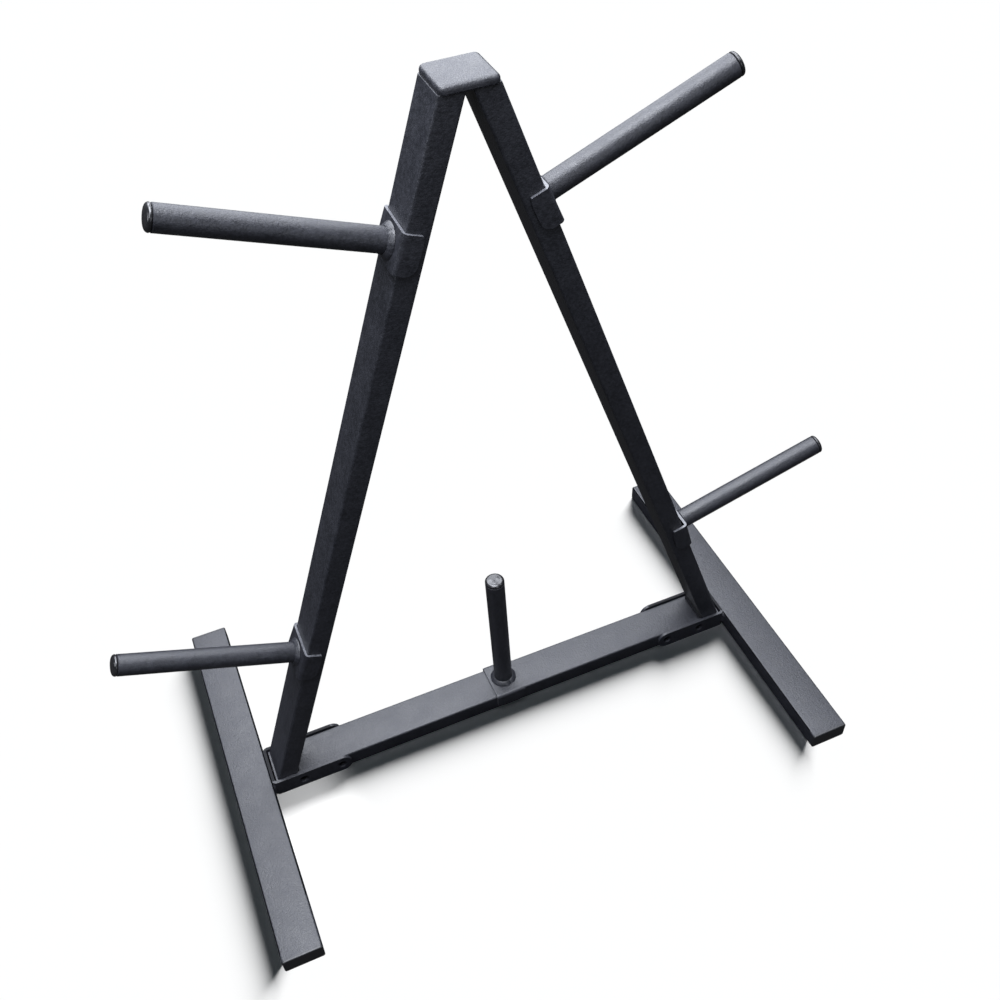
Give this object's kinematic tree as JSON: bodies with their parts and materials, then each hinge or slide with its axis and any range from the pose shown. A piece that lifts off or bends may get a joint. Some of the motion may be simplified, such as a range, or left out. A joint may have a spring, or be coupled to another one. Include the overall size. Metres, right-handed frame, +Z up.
{
  "type": "plate tree",
  "caption": "Free-standing A-frame rack for weight plates: leaning rectangular-tube uprights on an H-shaped tube base, with round storage pegs on saddle brackets.",
  "frame": {"origin": "on the floor, midway between the feet and midway between the front and the back", "axes": "+X along the crossbeam from the left foot to the right foot, +Y to the back, +Z up"},
  "size_m": [0.9377, 0.52, 0.906],
  "materials": {
    "powder_coat": "satin black powder coat with a fine orange peel",
    "weld": "weld bead under the same satin black powder coat",
    "peg_cap": "glossy black moulded plastic",
    "foot_plug": "satin black moulded plastic",
    "set_screw": "black oxide"
  },
  "bodies": {
    "root": {"left_foot_tube": "powder_coat", "left_foot_front_plug": "foot_plug", "left_foot_back_plug": "foot_plug", "left_base_bracket": "powder_coat", "left_front_set_screw_1": "set_screw", "left_front_set_screw_2": "set_screw", "left_bracket_front_weld": "weld", "left_back_set_screw_1": "set_screw", "left_back_set_screw_2": "set_screw", "left_bracket_back_weld": "weld", "left_upright": "powder_coat", "upper_left_peg_saddle": "powder_coat", "upper_left_peg": "powder_coat", "upper_left_peg_cap": "peg_cap", "upper_left_peg_weld": "weld", "lower_left_peg_saddle": "powder_coat", "lower_left_peg": "powder_coat", "lower_left_peg_cap": "peg_cap", "lower_left_peg_weld": "weld", "left_upright_weld": "weld", "right_foot_tube": "powder_coat", "right_foot_front_plug": "foot_plug", "right_foot_back_plug": "foot_plug", "right_base_bracket": "powder_coat", "right_front_set_screw_1": "set_screw", "right_front_set_screw_2": "set_screw", "right_bracket_front_weld": "weld", "right_back_set_screw_1": "set_screw", "right_back_set_screw_2": "set_screw", "right_bracket_back_weld": "weld", "right_upright": "powder_coat", "upper_right_peg_saddle": "powder_coat", "upper_right_peg": "powder_coat", "upper_right_peg_cap": "peg_cap", "upper_right_peg_weld": "weld", "lower_right_peg_saddle": "powder_coat", "lower_right_peg": "powder_coat", "lower_right_peg_cap": "peg_cap", "lower_right_peg_weld": "weld", "right_upright_weld": "weld", "crossbeam": "powder_coat", "base_peg_saddle": "powder_coat", "base_peg": "powder_coat", "base_peg_cap": "peg_cap", "base_peg_weld": "weld", "top_cap": "powder_coat", "top_cap_back_weld": "weld", "top_cap_front_weld": "weld"}
  },
  "joints": []
}
